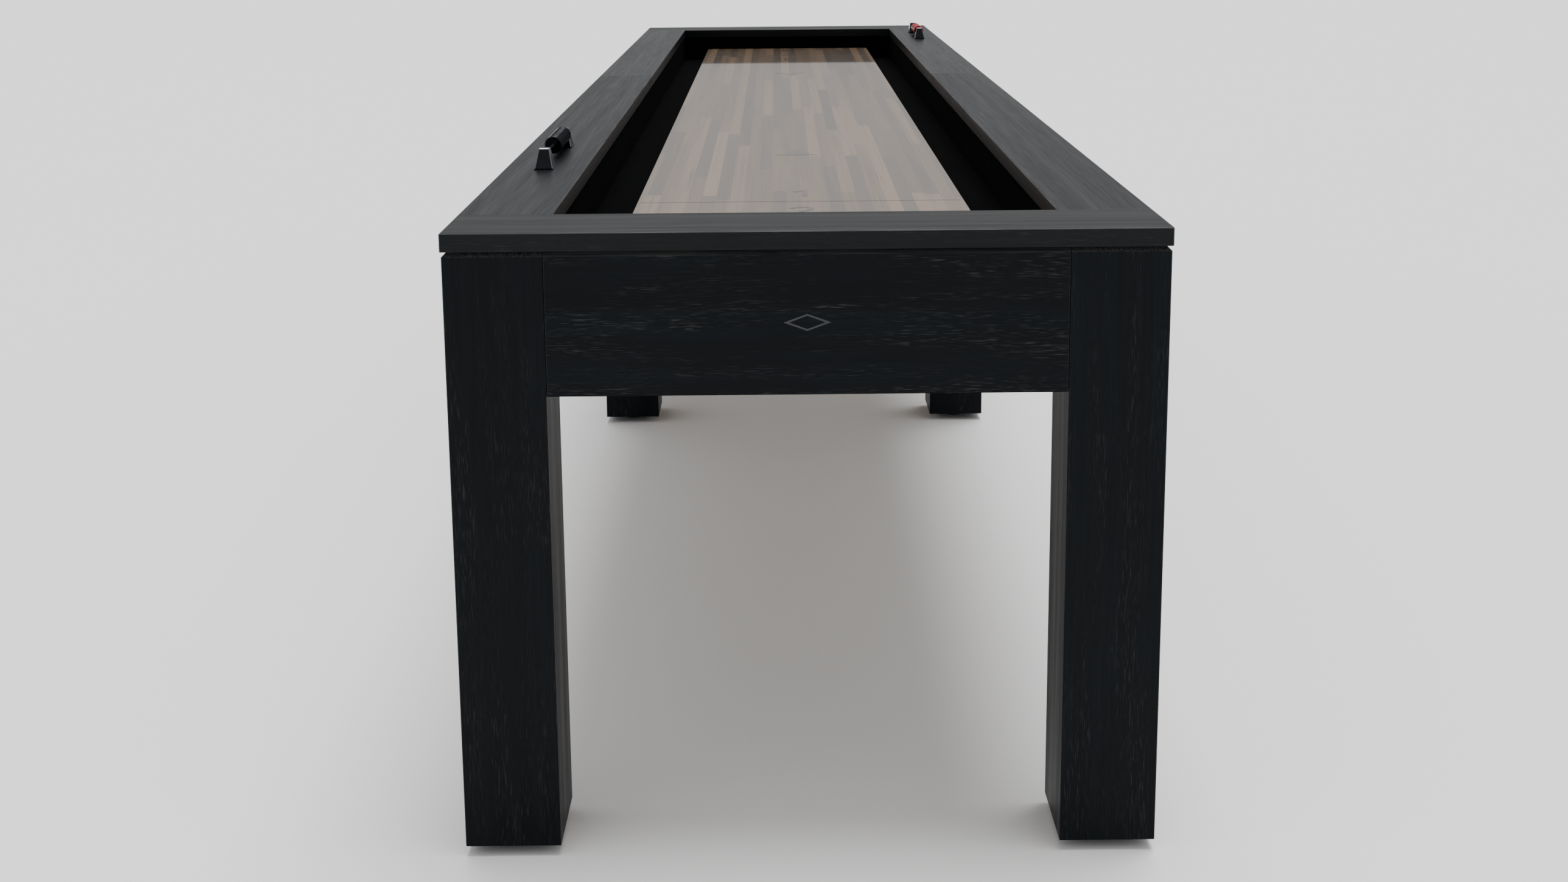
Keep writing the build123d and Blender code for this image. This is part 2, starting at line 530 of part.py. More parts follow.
with BuildPart() as cradle_brackets:
    for sx, face_x, face_y, way, post_reach in bracket_places:
        with BuildSketch(Plane.XY.offset(bracket_z)):
            with Locations((sx * (face_x - BRACKET_REACH / 2), face_y + way * BRACKET_PLATE / 2)):
                Rectangle(BRACKET_REACH, BRACKET_PLATE)
            with Locations((sx * (face_x - BRACKET_PLATE / 2), face_y + way * post_reach / 2)):
                Rectangle(BRACKET_PLATE, post_reach)
        extrude(amount=BRACKET_HEIGHT)
        with BuildSketch(plane_facing_y(face_y)):
            with Locations((sx * (face_x - 2 * BRACKET_REACH / 3), CROSS_MEMBER_MID_Z)):
                Circle(SCREW_RADIUS + BOLT_CLEARANCE)
        extrude(amount=2 * BRACKET_PLATE, both=True, mode=Mode.SUBTRACT)
        with BuildSketch(Plane.YZ.offset(sx * face_x)):
            with Locations((face_y + way * 2 * post_reach / 3, CROSS_MEMBER_MID_Z)):
                Circle(SCREW_RADIUS + BOLT_CLEARANCE)
        extrude(amount=2 * BRACKET_PLATE, both=True, mode=Mode.SUBTRACT)
save(cradle_brackets, "cradle_brackets")

# Each screw's head bears on its bracket and its shank bites into the wood behind it.
with BuildPart() as bracket_screws:
    with BuildSketch(Plane.XY.offset(PLAYFIELD_UNDERSIDE - ADJUSTER_PLATE)):
        with Locations(*adjuster_screw_points):
            Circle(SCREW_RADIUS)
    extrude(amount=SCREW_LENGTH)
    with BuildSketch(Plane.XY.offset(PLAYFIELD_UNDERSIDE - ADJUSTER_PLATE - SCREW_HEAD)):
        with Locations(*adjuster_screw_points):
            Circle(SCREW_HEAD_RADIUS)
    extrude(amount=SCREW_HEAD)
    for sx, face_x, face_y, way, post_reach in bracket_places:
        member_x = sx * (face_x - 2 * BRACKET_REACH / 3)
        post_y = face_y + way * 2 * post_reach / 3
        with BuildSketch(plane_facing_y(face_y + way * BRACKET_PLATE)):
            with Locations((member_x, CROSS_MEMBER_MID_Z)):
                Circle(SCREW_RADIUS)
        extrude(amount=way * SCREW_LENGTH)
        with BuildSketch(plane_facing_y(face_y + way * BRACKET_PLATE)):
            with Locations((member_x, CROSS_MEMBER_MID_Z)):
                Circle(SCREW_HEAD_RADIUS)
        extrude(amount=-way * SCREW_HEAD)
        with BuildSketch(Plane.YZ.offset(sx * (face_x - BRACKET_PLATE))):
            with Locations((post_y, CROSS_MEMBER_MID_Z)):
                Circle(SCREW_RADIUS)
        extrude(amount=sx * SCREW_LENGTH)
        with BuildSketch(Plane.YZ.offset(sx * (face_x - BRACKET_PLATE))):
            with Locations((post_y, CROSS_MEMBER_MID_Z)):
                Circle(SCREW_HEAD_RADIUS)
        extrude(amount=-sx * SCREW_HEAD)
save(bracket_screws, "bracket_screws")

leg_bolt_points = [(x, CROSS_MEMBER_MID_Z) for x in leg_bolt_x]
seam_half = SEAM_MEMBER_WIDTH + SEAM_GAP / 2
seam_points = [(x, CROSS_MEMBER_MID_Z) for x in SEAM_BOLT_X]

with BuildPart() as frame_bolts:
    # Eight bolts draw the corner legs to the end members.
    for sy in (-1, 1):
        seat_y = sy * (END_MEMBER_Y - CROSS_MEMBER_WIDTH / 2 - WASHER_THICKNESS)
        with BuildSketch(plane_facing_y(seat_y)):
            with Locations(*leg_bolt_points):
                RegularPolygon(M10_HEX / 2, 6, major_radius=False)
        extrude(amount=sy * M10_HEAD)
        with BuildSketch(plane_facing_y(seat_y)):
            with Locations(*leg_bolt_points):
                Circle(M10_RADIUS)
        extrude(amount=-sy * (LEG_INNER_Y + LEG_BOLT_BITE - WOOD_GAP - abs(seat_y)))
    # Three bolts with nuts draw the two lengths of the cabinet together.
    with BuildSketch(plane_facing_y(SEAM_Y - seam_half)):
        with Locations(*seam_points):
            RegularPolygon(M10_HEX / 2, 6, major_radius=False)
    extrude(amount=M10_HEAD)
    with BuildSketch(plane_facing_y(SEAM_Y - seam_half)):
        with Locations(*seam_points):
            Circle(M10_RADIUS)
    extrude(amount=-(2 * seam_half + 2 * M10_HEAD))
save(frame_bolts, "frame_bolts")

with BuildPart() as bolt_washers:
    for sy in (-1, 1):
        with BuildSketch(plane_facing_y(sy * (END_MEMBER_Y - CROSS_MEMBER_WIDTH / 2))):
            with Locations(*leg_bolt_points):
                Circle(M10_RADIUS + WASHER_WALL)
                Circle(M10_RADIUS + BOLT_CLEARANCE, mode=Mode.SUBTRACT)
        extrude(amount=sy * WASHER_THICKNESS)
    with BuildSketch(Plane.XY.offset(CROSS_MEMBER_BOTTOM - WASHER_THICKNESS)):
        with Locations(*playfield_bolt_points):
            Circle(M8_RADIUS + WASHER_WALL)
            Circle(M8_RADIUS + BOLT_CLEARANCE, mode=Mode.SUBTRACT)
    extrude(amount=WASHER_THICKNESS)
save(bolt_washers, "bolt_washers")

with BuildPart() as m10_nuts:
    with BuildSketch(plane_facing_y(SEAM_Y + seam_half)):
        with Locations(*seam_points):
            RegularPolygon(M10_HEX / 2, 6, major_radius=False)
            Circle(M10_RADIUS + THREAD_GAP, mode=Mode.SUBTRACT)
    extrude(amount=-M10_HEAD)
    for sx in (-1, 1):
        for nut_x in (lug_x - ADJUSTER_PLATE / 2, lug_x + ADJUSTER_PLATE / 2 + ADJUSTER_NUT):
            with BuildSketch(Plane.YZ.offset(sx * nut_x)):
                with Locations(*[(y, adjuster_axis_z) for y in ADJUSTER_Y]):
                    RegularPolygon(M10_HEX / 2, 6, major_radius=False)
                    Circle(ADJUSTER_ROD_RADIUS + THREAD_GAP, mode=Mode.SUBTRACT)
            extrude(amount=-sx * ADJUSTER_NUT)
save(m10_nuts, "m10_nuts")

# ---------------------------------------------------------------- levellers
with BuildPart() as leg_inserts:
    with BuildSketch(Plane.XY.offset(LEG_STANDOFF - INSERT_FLANGE)):
        with Locations(*[(x, y) for name, x, y in LEG_PLACES]):
            Circle(INSERT_FLANGE_RADIUS)
            Circle(M10_RADIUS + THREAD_GAP, mode=Mode.SUBTRACT)
    extrude(amount=INSERT_FLANGE)
    with BuildSketch(Plane.XY.offset(LEG_STANDOFF)):
        with Locations(*[(x, y) for name, x, y in LEG_PLACES]):
            Circle(INSERT_RADIUS)
            Circle(M10_RADIUS + THREAD_GAP, mode=Mode.SUBTRACT)
    extrude(amount=INSERT_DEPTH)
save(leg_inserts, "leg_inserts")

stud_bottom = PAD_HEIGHT - PAD_SOCKET_DEPTH + STUD_SIDE_GAP
collar_bottom = LEG_STANDOFF - INSERT_FLANGE - WOOD_GAP - STUD_COLLAR

for name, leg_x, leg_y in LEG_PLACES:
    with BuildPart() as leveller_pad:
        with BuildSketch():
            with Locations((leg_x, leg_y)):
                Circle(PAD_RADIUS)
        extrude(amount=PAD_HEIGHT)
        chamfer(leveller_pad.edges().group_by(Axis.Z)[-1], PAD_BEVEL)
        with BuildSketch(Plane.XY.offset(PAD_HEIGHT)):
            with Locations((leg_x, leg_y)):
                Circle(M10_RADIUS + STUD_SIDE_GAP)
        extrude(amount=-PAD_SOCKET_DEPTH, mode=Mode.SUBTRACT)
    save(leveller_pad, f"{name}_leveller_pad")

    with BuildPart() as leveller_stud:
        with BuildSketch(Plane.XY.offset(stud_bottom)):
            with Locations((leg_x, leg_y)):
                Circle(M10_RADIUS)
        extrude(amount=STUD_TOP - stud_bottom)
        with BuildSketch(Plane.XY.offset(collar_bottom)):
            with Locations((leg_x, leg_y)):
                RegularPolygon(M10_HEX / 2, 6, major_radius=False)
        extrude(amount=STUD_COLLAR)
    save(leveller_stud, f"{name}_leveller_stud")

# ---------------------------------------------------------------- scorers
scorer_axis_z = RAIL_TOP + SCORER_AXIS_HEIGHT
rod_length = SCORER_LENGTH - 2 * SCORER_ROD_END

with BuildSketch() as bead_section:
    # Half of a bead's cross-section: local x is along the rod, local y is the radius.
    with Locations((0, (BEAD_RADIUS + BEAD_BORE_RADIUS) / 2)):
        Rectangle(BEAD_THICKNESS, BEAD_RADIUS - BEAD_BORE_RADIUS)
    fillet(bead_section.vertices().group_by(Axis.Y)[-1], BEAD_ROUND)
    dish_mid = (BEAD_RADIUS - BEAD_RIM + BEAD_HUB_RADIUS) / 2
    dish_width = BEAD_RADIUS - BEAD_RIM - BEAD_HUB_RADIUS
    with Locations((-BEAD_THICKNESS / 2, dish_mid), (BEAD_THICKNESS / 2, dish_mid)):
        Rectangle(2 * BEAD_DISH, dish_width, mode=Mode.SUBTRACT)

with BuildPart() as scorer_posts:
    for post_x, post_y in scorer_post_points:
        with BuildSketch(Plane((post_x, post_y, RAIL_TOP + SCORER_FOOT_HEIGHT))):
            Rectangle(SCORER_FOOT[0] - 2 * SCORER_LEDGE, SCORER_FOOT[1] - 2 * SCORER_LEDGE)
        with BuildSketch(Plane((post_x, post_y, RAIL_TOP + SCORER_HEIGHT))):
            Rectangle(*SCORER_CREST)
        loft()
    base_edges = scorer_posts.edges().group_by(Axis.Z)[0]
    chamfer([edge for edge in scorer_posts.edges() if edge not in base_edges], SCORER_BEVEL)
    with BuildSketch(Plane.XY.offset(RAIL_TOP)):
        with Locations(*scorer_post_points):
            Rectangle(*SCORER_FOOT)
    extrude(amount=SCORER_FOOT_HEIGHT)
    for sx, outer_y, inward in scorers.values():
        with BuildSketch(plane_facing_y(outer_y + inward * SCORER_ROD_END)):
            with Locations((sx * SIDE_RAIL_X, scorer_axis_z)):
                Circle(SCORER_ROD_RADIUS + THREAD_GAP)
        extrude(amount=-inward * rod_length, mode=Mode.SUBTRACT)
    with BuildSketch(Plane.XY.offset(RAIL_TOP)):
        with Locations(*scorer_post_points):
            Circle(SCREW_RADIUS + GLUE_GAP)
    extrude(amount=SCORER_SCREW_BITE, mode=Mode.SUBTRACT)
save(scorer_posts, "scorer_posts")

with BuildPart() as scorer_rods:
    for sx, outer_y, inward in scorers.values():
        with BuildSketch(plane_facing_y(outer_y + inward * SCORER_ROD_END)):
            with Locations((sx * SIDE_RAIL_X, scorer_axis_z)):
                Circle(SCORER_ROD_RADIUS)
        extrude(amount=-inward * rod_length)
save(scorer_rods, "scorer_rods")

for colour, (sx, outer_y, inward) in scorers.items():
    axis_x = sx * SIDE_RAIL_X
    stop_y = outer_y + inward * (SCORER_LENGTH - SCORER_STOP)
    for group in range(BEAD_GROUPS):
        first = group * BEADS_PER_GROUP + 0.5
        bead_y = [stop_y - inward * BEAD_PITCH * (first + i) for i in range(BEADS_PER_GROUP)]
        with BuildPart() as beads:
            with BuildSketch(Plane.YZ.offset(axis_x)):
                with Locations(*[(y, scorer_axis_z) for y in bead_y]):
                    add(bead_section.sketch)
            revolve(axis=Axis((axis_x, 0, scorer_axis_z), (0, 1, 0)))
        save(beads, f"{colour}_beads_{group + 1}")

with BuildPart() as scorer_screws:
    with BuildSketch(Plane.XY.offset(RAIL_UNDERSIDE)):
        with Locations(*scorer_post_points):
            Circle(SCREW_RADIUS)
    extrude(amount=RAIL_THICKNESS + SCORER_SCREW_BITE - WOOD_GAP)
    with BuildSketch(Plane.XY.offset(RAIL_UNDERSIDE - SCREW_HEAD)):
        with Locations(*scorer_post_points):
            Circle(SCREW_HEAD_RADIUS)
    extrude(amount=SCREW_HEAD)
save(scorer_screws, "scorer_screws")
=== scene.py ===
import json
import math

import bmesh
import bpy
from mathutils import Matrix, Vector


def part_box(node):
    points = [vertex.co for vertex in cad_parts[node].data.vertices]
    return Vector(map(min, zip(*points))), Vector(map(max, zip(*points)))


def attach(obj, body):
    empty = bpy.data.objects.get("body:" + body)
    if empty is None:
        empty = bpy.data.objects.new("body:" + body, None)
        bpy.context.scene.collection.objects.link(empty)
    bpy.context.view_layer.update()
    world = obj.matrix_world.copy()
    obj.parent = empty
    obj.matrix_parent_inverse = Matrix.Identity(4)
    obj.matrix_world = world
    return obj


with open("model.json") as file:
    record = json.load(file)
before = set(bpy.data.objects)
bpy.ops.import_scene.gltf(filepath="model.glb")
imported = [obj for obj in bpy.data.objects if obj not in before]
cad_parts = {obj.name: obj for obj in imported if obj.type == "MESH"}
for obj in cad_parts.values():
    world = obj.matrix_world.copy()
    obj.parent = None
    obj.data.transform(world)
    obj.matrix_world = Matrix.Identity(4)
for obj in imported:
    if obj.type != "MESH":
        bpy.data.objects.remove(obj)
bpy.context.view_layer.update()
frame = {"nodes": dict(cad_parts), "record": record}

# Shuffleboard table: finishes, printed markings, floor, light and camera over the CAD frame.
# Metres, +Z up, +Y from the near end to the far end, +X to the right.

# ---------------------------------------------------------------- node helpers
GRAIN_AXES = {"x": 0, "y": 1, "z": 2}


class Finish:
    """A node material with short calls for the nodes that the finishes share."""

    def __init__(self, name):
        self.material = bpy.data.materials.new(name)
        self.material.use_nodes = True
        self.tree = self.material.node_tree
        self.shader = self.tree.nodes["Principled BSDF"]
        self.object_coords = self.tree.nodes.new("ShaderNodeTexCoord").outputs["Object"]

    def node(self, kind, **settings):
        made = self.tree.nodes.new(kind)
        for key, value in settings.items():
            setattr(made, key, value)
        return made

    def feed(self, socket, value):
        """Link a socket, or set a plain value."""
        if isinstance(value, bpy.types.NodeSocket):
            self.tree.links.new(value, socket)
        elif isinstance(value, tuple) and len(value) == 3 and socket.type == "RGBA":
            socket.default_value = (*value, 1.0)
        else:
            socket.default_value = value

    def constant(self, **sockets):
        for key, value in sockets.items():
            self.feed(self.shader.inputs[key.replace("_", " ")], value)

    def math(self, operation, first, second=0.0, clamp=False):
        made = self.node("ShaderNodeMath", operation=operation, use_clamp=clamp)
        self.feed(made.inputs[0], first)
        self.feed(made.inputs[1], second)
        return made.outputs[0]

    def stretched(self, scale, offset=(0.0, 0.0, 0.0)):
        """Object coordinates scaled to cycles per metre along each axis."""
        made = self.node("ShaderNodeMapping")
        self.feed(made.inputs["Vector"], self.object_coords)
        made.inputs["Scale"].default_value = scale
        made.inputs["Location"].default_value = offset
        return made.outputs[0]

    def wander(self, axis, reach):
        """Shift the coordinates slowly, so that the grain lines wander."""
        shift = self.node("ShaderNodeTexNoise")
        self.feed(shift.inputs["Vector"], self.stretched(along(axis, 1.6, 7.0)))
        shift.inputs["Scale"].default_value = 1.0
        centred = self.node("ShaderNodeVectorMath", operation="SUBTRACT")
        self.feed(centred.inputs[0], shift.outputs["Color"])
        centred.inputs[1].default_value = (0.5, 0.5, 0.5)
        scaled = self.node("ShaderNodeVectorMath", operation="SCALE")
        self.feed(scaled.inputs[0], centred.outputs[0])
        scaled.inputs["Scale"].default_value = reach
        moved = self.node("ShaderNodeVectorMath", operation="ADD")
        self.feed(moved.inputs[0], self.object_coords)
        self.feed(moved.inputs[1], scaled.outputs[0])
        self.object_coords = moved.outputs[0]

    def noise(self, vector, detail=2.0, roughness=0.5, distortion=0.0):
        made = self.node("ShaderNodeTexNoise")
        self.feed(made.inputs["Vector"], vector)
        made.inputs["Scale"].default_value = 1.0
        made.inputs["Detail"].default_value = detail
        made.inputs["Roughness"].default_value = roughness
        made.inputs["Distortion"].default_value = distortion
        return made.outputs["Fac"]

    def remap(self, value, low, high, to_low=0.0, to_high=1.0):
        made = self.node("ShaderNodeMapRange", interpolation_type="SMOOTHSTEP")
        for socket, fed in zip(made.inputs, (value, low, high, to_low, to_high)):
            self.feed(socket, fed)
        return made.outputs["Result"]

    def blend(self, factor, first, second):
        made = self.node("ShaderNodeMix", data_type="RGBA")
        self.feed(made.inputs[0], factor)
        self.feed(made.inputs[6], first)
        self.feed(made.inputs[7], second)
        return made.outputs[2]

    def eased_edge(self, low=0.85, high=0.95):
        """One on faces that lean away from the main axes, which are the eased edges."""
        split = self.node("ShaderNodeSeparateXYZ")
        self.feed(split.inputs[0], self.node("ShaderNodeNewGeometry").outputs["True Normal"])
        leans = [self.math("ABSOLUTE", split.outputs[key]) for key in "XYZ"]
        flattest = self.math("MAXIMUM", self.math("MAXIMUM", leans[0], leans[1]), leans[2])
        return self.remap(flattest, low, high, 1.0, 0.0)

    def bump(self, height, distance, strength=1.0, under=None):
        made = self.node("ShaderNodeBump")
        made.inputs["Strength"].default_value = strength
        made.inputs["Distance"].default_value = distance
        self.feed(made.inputs["Height"], height)
        if under is not None:
            self.feed(made.inputs["Normal"], under)
        self.feed(self.shader.inputs["Normal"], made.outputs[0])
        return made.outputs[0]


def along(axis, length_rate, across_rate):
    """Cycles per metre for a texture drawn out along the grain."""
    return tuple(length_rate if i == GRAIN_AXES[axis] else across_rate for i in range(3))


# ---------------------------------------------------------------- stained wood
STAIN_DEEP = (0.0010, 0.0019, 0.0030)
STAIN_PALE = (0.0036, 0.0058, 0.0082)
PORE_GREY = (0.036, 0.035, 0.036)
# Painted highlight: the lighter colour laid on the eased edges of the stained wood.
EDGE_HIGHLIGHT_PAINT = (0.040, 0.040, 0.041)
GRAIN_WANDER = 0.018


def stained_wood(name, axis, pores=0.5, seed=0.0, roughness=0.42, lift=1.0, specular=0.09):
    """Black-stained open-pored wood: growth bands, fibres, clusters of fine pore dashes and a painted
    highlight on the eased edges.
    """
    f = Finish(name)
    f.wander(axis, GRAIN_WANDER)
    shift = (seed, seed * 1.7, seed * 0.6)
    bands = f.noise(f.stretched(along(axis, 0.8, 46.0), shift), 3.0, 0.55, 0.4)
    streaks = f.noise(f.stretched(along(axis, 6.0, 400.0), shift), 3.0, 0.6)
    fibres = f.noise(f.stretched(along(axis, 16.0, 900.0), shift), 2.0)
    pore_field = f.noise(f.stretched(along(axis, 46.0, 1050.0), shift), 1.0, 0.4)
    clusters = f.noise(f.stretched(along(axis, 2.6, 30.0), shift), 3.0, 0.6)
    dashes = f.math("MULTIPLY", f.remap(pore_field, 0.56, 0.72), f.remap(clusters, 0.38, 0.70))
    dashes = f.math("MULTIPLY", dashes, pores, clamp=True)
    cloud = f.noise(f.stretched((3.0, 3.0, 3.0), shift), 2.0)
    tone = f.math("MULTIPLY", f.remap(bands, 0.30, 0.72), f.remap(streaks, 0.25, 0.75, 0.35, 1.0))
    tone = f.math("MULTIPLY", tone, f.remap(cloud, 0.30, 0.70, 0.60, 1.0), clamp=True)
    deep = tuple(c * lift for c in STAIN_DEEP)
    pale = tuple(c * lift for c in STAIN_PALE)
    colour = f.blend(dashes, f.blend(tone, deep, pale), PORE_GREY)
    # Painted highlight: the eased edges are made lighter, broken up along the streaks.
    painted_edge_highlight = f.math("MULTIPLY", f.eased_edge(), f.remap(streaks, 0.30, 0.70, 0.25, 1.0))
    colour = f.blend(painted_edge_highlight, colour, EDGE_HIGHLIGHT_PAINT)
    f.feed(f.shader.inputs["Base Color"], colour)
    rough = f.math("ADD", f.remap(bands, 0.30, 0.75, roughness - 0.06, roughness + 0.06),
                   f.remap(streaks, 0.30, 0.75, 0.06, -0.06))
    f.feed(f.shader.inputs["Roughness"], f.math("ADD", rough, f.math("MULTIPLY", dashes, 0.15)))
    f.constant(Specular_IOR_Level=specular)
    swell = f.bump(streaks, 0.00012, 0.35)
    relief = f.math("SUBTRACT", f.math("MULTIPLY", fibres, 0.6), dashes)
    f.bump(relief, 0.00025, 0.5, under=swell)
    return f.material


def raw_wood(name, axis, pale, dark):
    """Sawn unfinished softwood with growth bands and fibres."""
    f = Finish(name)
    bands = f.noise(f.stretched(along(axis, 0.9, 42.0)), 3.0, 0.6, 0.8)
    fibres = f.noise(f.stretched(along(axis, 12.0, 700.0)), 2.0)
    tone = f.math("MULTIPLY", f.remap(bands, 0.3, 0.7), f.remap(fibres, 0.2, 0.8, 0.6, 1.0))
    f.feed(f.shader.inputs["Base Color"], f.blend(tone, pale, dark))
    f.feed(f.shader.inputs["Roughness"], f.remap(fibres, 0.3, 0.7, 0.62, 0.78))
    f.constant(Specular_IOR_Level=0.3)
    f.bump(fibres, 0.0003, 0.5)
    return f.material


# ---------------------------------------------------------------- playfield
STRIP_PITCH = 0.508 / 23
BLOCK_LENGTH = 0.78
JOINT_LINE = 0.018  # share of a strip's width
MAPLE_LIGHT = (0.192, 0.118, 0.062)
MAPLE_MID = (0.116, 0.070, 0.036)
MAPLE_DARK = (0.056, 0.033, 0.017)
GLUE_BROWN = (0.075, 0.050, 0.035)
COAT_ROUGHNESS = 0.035


def maple_colour(f):
    """Glued strips, each cut into blocks of random tone, with grain streaks and joint lines."""
    split = f.node("ShaderNodeSeparateXYZ")
    f.feed(split.inputs[0], f.object_coords)
    strip_place = f.math("DIVIDE", split.outputs["X"], STRIP_PITCH)
    strip = f.math("FLOOR", strip_place)
    slide = f.node("ShaderNodeTexWhiteNoise", noise_dimensions="1D")
    f.feed(slide.inputs["W"], strip)
    blocks = f.math("ADD", f.math("DIVIDE", split.outputs["Y"], BLOCK_LENGTH),
                    f.math("MULTIPLY", slide.outputs["Value"], 7.0))
    block = f.math("FLOOR", blocks)
    pair = f.node("ShaderNodeCombineXYZ")
    f.feed(pair.inputs["X"], strip)
    f.feed(pair.inputs["Y"], block)
    chance = f.node("ShaderNodeTexWhiteNoise", noise_dimensions="2D")
    f.feed(chance.inputs["Vector"], pair.outputs[0])
    tone = chance.outputs["Value"]
    streaks = f.noise(f.stretched(along("y", 2.2, 170.0)), 3.0, 0.6)
    figure = f.noise(f.stretched(along("y", 1.2, 26.0)), 2.0, 0.5, 0.8)
    colour = f.blend(f.remap(tone, 0.15, 0.60), MAPLE_DARK, MAPLE_MID)
    colour = f.blend(f.remap(tone, 0.55, 0.95), colour, MAPLE_LIGHT)
    colour = f.blend(f.remap(streaks, 0.48, 0.72, 0.0, 0.55), colour, MAPLE_DARK)
    colour = f.blend(f.remap(figure, 0.46, 0.74, 0.0, 0.35), colour, MAPLE_LIGHT)
    edge = f.math("ABSOLUTE", f.math("SUBTRACT", f.math("FRACT", strip_place), 0.5))
    joint = f.remap(edge, 0.5 - JOINT_LINE, 0.5, 0.0, 0.55)
    butt = f.math("ABSOLUTE", f.math("SUBTRACT", f.math("FRACT", blocks), 0.5))
    butt_line = f.remap(butt, 0.4990, 0.5, 0.0, 0.45)
    colour = f.blend(f.math("MAXIMUM", joint, butt_line), colour, GLUE_BROWN)
    return colour, streaks


def gloss_coat(f, base_roughness):
    """The thick levelled resin coat over the playfield and its markings."""
    swell = f.noise(f.stretched((5.0, 2.2, 5.0)), 1.0)
    f.feed(f.shader.inputs["Roughness"], base_roughness)
    f.constant(Coat_Weight=1.0, Coat_Roughness=COAT_ROUGHNESS, Coat_IOR=1.5, Specular_IOR_Level=0.3)
    f.bump(swell, 0.0004, 0.35)


def playfield_finish():
    """Bare maple strips under the coat."""
    f = Finish("playfield_maple")
    colour, streaks = maple_colour(f)
    f.feed(f.shader.inputs["Base Color"], colour)
    gloss_coat(f, f.remap(streaks, 0.3, 0.8, 0.36, 0.48))
    return f.material


INK = (0.010, 0.013, 0.022)


def ink_finish(name, cover, speckle):
    """Screen-printed ink under the coat; the maple shows through where it is thin."""
    f = Finish(name)
    maple, streaks = maple_colour(f)
    grit = f.noise(f.stretched((speckle, speckle, speckle)), 3.0, 0.7)
    shown = f.remap(grit, 0.30, 0.62, cover * 0.45, cover)
    f.feed(f.shader.inputs["Base Color"], f.blend(shown, maple, INK))
    gloss_coat(f, f.remap(streaks, 0.3, 0.8, 0.36, 0.48))
    return f.material


# ---------------------------------------------------------------- carpet, plastics and metals
CARPET_DARK = (0.0005, 0.0005, 0.0006)
CARPET_LIGHT = (0.0020, 0.0021, 0.0025)
CARPET_SHEEN = (0.50, 0.55, 0.75)


def carpet_finish():
    """Short dense black pile, a little worn along the gutters."""
    f = Finish("gutter_carpet")
    pile = f.noise(f.stretched((1500.0, 1500.0, 1500.0)), 2.0, 0.6)
    tufts = f.noise(f.stretched((420.0, 420.0, 420.0)), 2.0, 0.6)
    wear = f.noise(f.stretched((9.0, 4.0, 9.0)), 3.0)
    tone = f.math("MULTIPLY", f.remap(pile, 0.3, 0.7, 0.4, 1.0), f.remap(wear, 0.3, 0.7, 0.6, 1.0))
    f.feed(f.shader.inputs["Base Color"], f.blend(tone, CARPET_DARK, CARPET_LIGHT))
    f.feed(f.shader.inputs["Roughness"], f.remap(tufts, 0.3, 0.7, 0.86, 1.0))
    f.constant(Specular_IOR_Level=0.02, Sheen_Weight=0.005, Sheen_Roughness=0.5,
               Sheen_Tint=CARPET_SHEEN)
    f.bump(f.math("ADD", pile, tufts), 0.0012, 0.8)
    return f.material


BLACK_BEAD = {"deep": (0.026, 0.026, 0.029), "bright": (0.042, 0.042, 0.046),
              "metallic": 1.0, "edge": (0.25, 0.25, 0.27)}
RED_BEAD = {"deep": (0.20, 0.0025, 0.008), "bright": (0.29, 0.0045, 0.012),
            "metallic": 0.0, "edge": (1.0, 1.0, 1.0)}


def bead_finish(name, deep, bright, metallic, edge):
    """Gloss beads with faint swirls and handling marks; edge tints what glances off them."""
    f = Finish(name)
    swirl = f.noise(f.stretched((90.0, 40.0, 90.0)), 2.0)
    marks = f.noise(f.stretched((900.0, 900.0, 900.0)), 2.0)
    f.feed(f.shader.inputs["Base Color"], f.blend(f.remap(swirl, 0.3, 0.7), deep, bright))
    f.feed(f.shader.inputs["Roughness"], f.remap(marks, 0.35, 0.75, 0.07, 0.13))
    f.constant(Metallic=metallic, Specular_IOR_Level=0.06, Specular_Tint=edge)
    f.bump(marks, 0.00003, 0.4)
    return f.material


SCORER_DARK = (0.003, 0.0035, 0.005)
SCORER_LIGHT = (0.006, 0.007, 0.010)
SCORER_BEVEL = (0.15, 0.165, 0.19)
SCORER_BEVEL_METAL = 0.95


def scorer_finish():
    """Black gloss faces with bright bevels."""
    f = Finish("dark_chrome")
    bevel = f.eased_edge(0.84, 0.90)
    smudge = f.noise(f.stretched((60.0, 60.0, 60.0)), 3.0)
    face = f.blend(f.remap(smudge, 0.3, 0.7), SCORER_DARK, SCORER_LIGHT)
    f.feed(f.shader.inputs["Base Color"], f.blend(bevel, face, SCORER_BEVEL))
    f.feed(f.shader.inputs["Metallic"], f.math("MULTIPLY", bevel, SCORER_BEVEL_METAL))
    f.feed(f.shader.inputs["Roughness"], f.remap(smudge, 0.3, 0.8, 0.10, 0.20))
    f.constant(Specular_IOR_Level=0.12)
    f.bump(smudge, 0.00004, 0.3)
    return f.material


def metal_finish(name, dark, light, roughness, metallic, scale):
    """Mottled plated or painted metal; the scale is in mottles per metre."""
    f = Finish(name)
    spangle = f.noise(f.stretched((scale, scale, scale)), 3.0, 0.6)
    f.feed(f.shader.inputs["Base Color"], f.blend(f.remap(spangle, 0.3, 0.7), dark, light))
    f.feed(f.shader.inputs["Roughness"], f.remap(spangle, 0.3, 0.7, roughness - 0.08, roughness + 0.08))
    f.constant(Metallic=metallic)
    f.bump(spangle, 0.00006, 0.4)
    return f.material


RUBBER_BLACK = (0.012, 0.012, 0.012)
RUBBER_DUST = (0.035, 0.034, 0.032)


